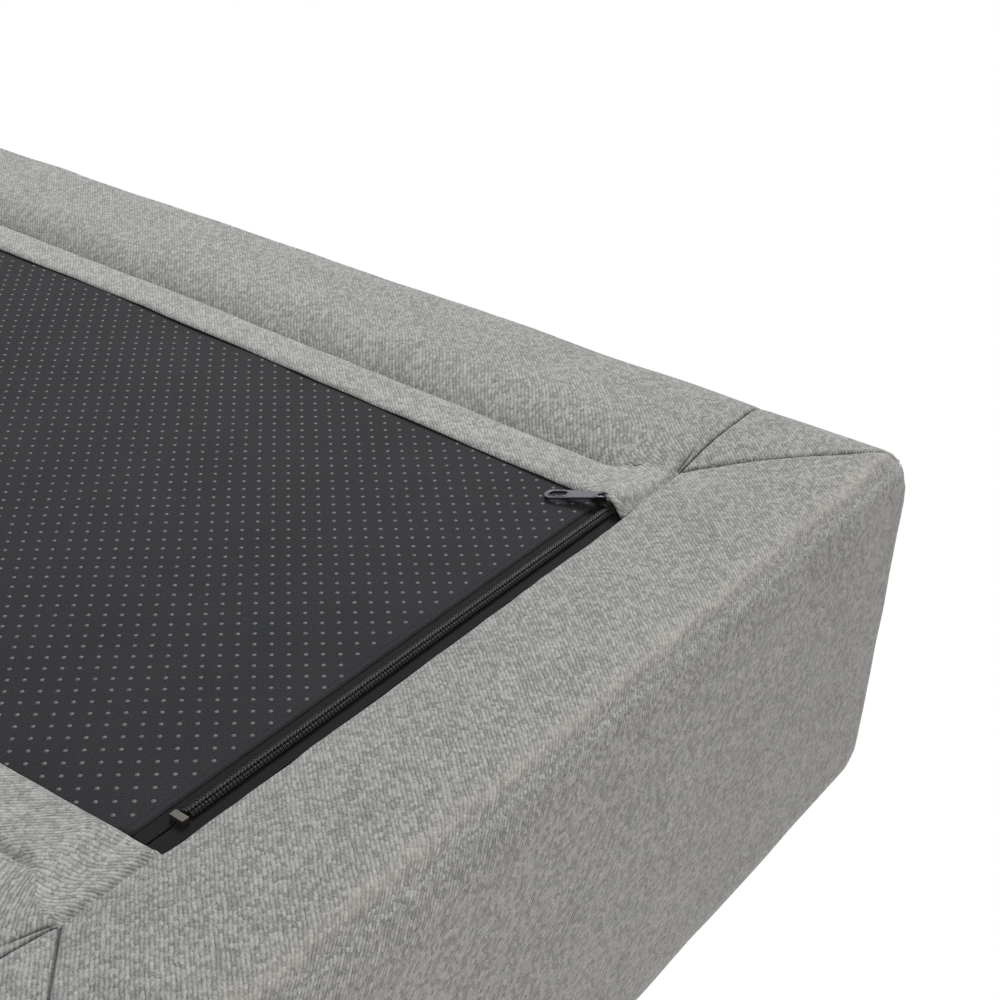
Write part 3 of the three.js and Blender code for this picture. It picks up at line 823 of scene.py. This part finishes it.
def bead(form, size, centre, lean, slant):
    """A rounded length of monofilament, leaned towards the ridge and slanted along the tape."""
    ball = bmesh.ops.create_uvsphere(form, u_segments=7, v_segments=5, radius=1)["verts"]
    bmesh.ops.scale(form, verts=ball, vec=Vector(size) * MM)
    bmesh.ops.rotate(form, verts=ball, matrix=Matrix.Rotation(lean, 3, "Y"))
    bmesh.ops.rotate(form, verts=ball, matrix=Matrix.Rotation(slant, 3, "Z"))
    bmesh.ops.translate(form, verts=ball, vec=centre)


def coil(name, side):
    """Each turn of the coil is a head at the chain's ridge, with two legs that run back to the tape."""
    (_, first, _), (_, last, tape_side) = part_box(name)
    start = first + 0.8 * MM + (TURN_PITCH / 2 if side > 0 else 0)
    turns = bmesh.new()
    for leg in (-0.2, 0.2):
        centre = Vector((CHAIN_X + side * 1.75 * MM, start + leg * TURN_PITCH, tape_side - 1.0 * MM))
        bead(turns, (1.4, 0.32, 0.62), centre, -side * 0.32, side * 0.18)
    head = Vector((CHAIN_X + side * 0.2 * MM, start, tape_side - 1.75 * MM))
    bead(turns, (0.8, 0.62, 0.6), head, 0, 0)
    repeated(turns, Vector((0, TURN_PITCH, 0)), 8)
    turn_count = math.floor((last - start - 0.8 * MM) / TURN_PITCH)
    limit = start + (turn_count + 0.5) * TURN_PITCH
    bmesh.ops.delete(turns, geom=[v for v in turns.verts if v.co.y > limit], context="VERTS")
    for face in turns.faces:
        face.smooth = True
    made = add_piece("coil_" + name[9:], turns, "cover", nylon.material)
    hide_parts(name)


coil("zip_coil_border", 1)
coil("zip_coil_panel", -1)


# ---- Slider, stops and pull: dark plated zinc ---------------------------------------------------
# Cast zinc, lighter along its edges: partly worn plating and partly a painted highlight on the edges. The
# slider, its link and the stops are blackened, and the pull is gunmetal. The crown holds the ring link, and
# the pull hangs on it.
def plating(name, dark, light, edge, metallic):
    metal = Finish(name, 0.3, Metallic=metallic)
    scuff = metal.noise(metal.place(), 260, 4.0, 0.6)
    scratch = metal.noise(metal.place(), 1900, 2.0)
    # Lighter sharp edges: partly worn plating and partly a painted highlight.
    worn_and_highlit = metal.node("ShaderNodeNewGeometry", output=7).step(0.52, 0.62)
    plated = metal.mix(scuff, dark, light)
    polish = metal.node("ShaderNodeMapRange", None, {"Value": scuff, "To Min": 0.26, "To Max": 0.44})
    return metal.set(Base_Color=metal.mix(worn_and_highlit * 0.5, plated, edge), Roughness=polish,
                     Normal=metal.bump(scratch, 0.02 * MM))


gunmetal = plating("gunmetal", (0.045, 0.045, 0.055), (0.085, 0.085, 0.10), (0.30, 0.30, 0.33), 0.85)
blackened = plating("blackened_zinc", (0.010, 0.010, 0.012), (0.022, 0.022, 0.026), (0.10, 0.09, 0.07), 0.4)
for node in ("slider_body", "slider_crown", "pull_link",
             "zip_top_stop_border", "zip_top_stop_panel", "zip_bottom_stop"):
    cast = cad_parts[node]
    cast.data.materials.clear()
    cast.data.materials.append(blackened)

PULL_TURN = math.radians(157.8)
PULL_DIP = math.radians(8)
LINK_REACH = 4
PULL_THICK = 1.0
HOLE_FROM_TIP, HOLE_TO_TIP, HOLE_HALF = 10.4, 2.2, 1.9
crown_bar = Vector((CHAIN_X, -133.5 * MM, 3.5 * MM))
tip, half = 31.0, 3.7


def along_pull(form, name):
    """Puts a form drawn along +X, in mm from the crown's bar, into its place, and makes it a piece."""
    bmesh.ops.translate(form, verts=form.verts[:], vec=(-LINK_REACH, 0, 0))
    bmesh.ops.rotate(form, verts=form.verts[:], matrix=Matrix.Rotation(-PULL_DIP, 3, "Y"))
    bmesh.ops.translate(form, verts=form.verts[:], vec=(LINK_REACH, 0, 0))
    bmesh.ops.scale(form, verts=form.verts[:], vec=(MM, MM, MM))
    bmesh.ops.rotate(form, verts=form.verts[:], matrix=Matrix.Rotation(PULL_TURN, 3, "Z"))
    bmesh.ops.translate(form, verts=form.verts[:], vec=crown_bar)
    return add_piece(name, form, "pull", gunmetal)


def ring_of(form, points):
    verts = [form.verts.new((x, y, 0)) for x, y in points]
    return [form.edges.new(pair) for pair in zip(verts, verts[1:] + verts[:1])]


def stadium(first, last, radius, steps=8):
    """An oblong outline between two half circles."""
    turns = [math.pi * (i / steps - 0.5) for i in range(steps + 1)]
    right = [(last - radius + radius * math.cos(a), radius * math.sin(a)) for a in turns]
    left = [(first + radius - radius * math.cos(a), -radius * math.sin(a)) for a in turns]
    return right + left


blade = bmesh.new()
turns = [math.pi * (i / 14 - 0.5) for i in range(15)]
outer = [(3.55, -1.9), (7.6, -2.0), (10.0, -2.7)]
outer += [(tip - half + half * math.cos(a), half * math.sin(a)) for a in turns]
outer += [(10.0, 2.7), (7.6, 2.0), (3.55, 1.9)]
hole = stadium(tip - HOLE_FROM_TIP, tip - HOLE_TO_TIP, HOLE_HALF)
eye = stadium(4.45, 7.25, 0.85, 4)
edges = ring_of(blade, outer) + ring_of(blade, hole) + ring_of(blade, eye)
bmesh.ops.triangle_fill(blade, edges=edges, use_beauty=True)
bmesh.ops.recalc_face_normals(blade, faces=blade.faces[:])
if blade.faces[:][0].normal.z < 0:
    bmesh.ops.reverse_faces(blade, faces=blade.faces[:])
grown = bmesh.ops.extrude_face_region(blade, geom=blade.faces[:])
lifted = [item for item in grown["geom"] if isinstance(item, bmesh.types.BMVert)]
bmesh.ops.translate(blade, verts=lifted, vec=(0, 0, PULL_THICK))
bmesh.ops.translate(blade, verts=blade.verts[:], vec=(0, 0, -PULL_THICK / 2))
bmesh.ops.recalc_face_normals(blade, faces=blade.faces[:])
for vert in blade.verts:
    if vert.co.x < 5:
        vert.co.z *= 0.8
sharp = [e for e in blade.edges if len(e.link_faces) == 2 and e.calc_face_angle(0) > 0.9]
bmesh.ops.bevel(blade, geom=sharp, offset=0.22, segments=2, profile=0.5, affect="EDGES", material=-1)
blade_piece = along_pull(blade, "pull_blade")
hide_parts("pull_tab")

RIM_RADIUS, RIM_WIRE = 2.15, 0.42
upright = Matrix.Translation((RIM_RADIUS, 0, 0)) @ Matrix.Rotation(math.pi / 2, 4, "X")
rim = bmesh.new()
bmesh.ops.create_circle(rim, segments=8, radius=RIM_WIRE, matrix=upright)
bmesh.ops.spin(rim, geom=rim.edges[:], cent=(0, 0, 0), axis=(0, 0, 1), angle=2 * math.pi, steps=28,
               use_merge=True)
bmesh.ops.recalc_face_normals(rim, faces=rim.faces[:])
hole_straight = (HOLE_FROM_TIP - HOLE_TO_TIP) / 2 - HOLE_HALF
for vert in rim.verts:
    vert.co.x += math.copysign(hole_straight, vert.co.x)
    vert.co.z = vert.co.z * 0.8 - RIM_WIRE
for face in rim.faces:
    face.smooth = True
bmesh.ops.translate(rim, verts=rim.verts[:], vec=(tip - (HOLE_FROM_TIP + HOLE_TO_TIP) / 2, 0, 0))
along_pull(rim, "pull_rim")
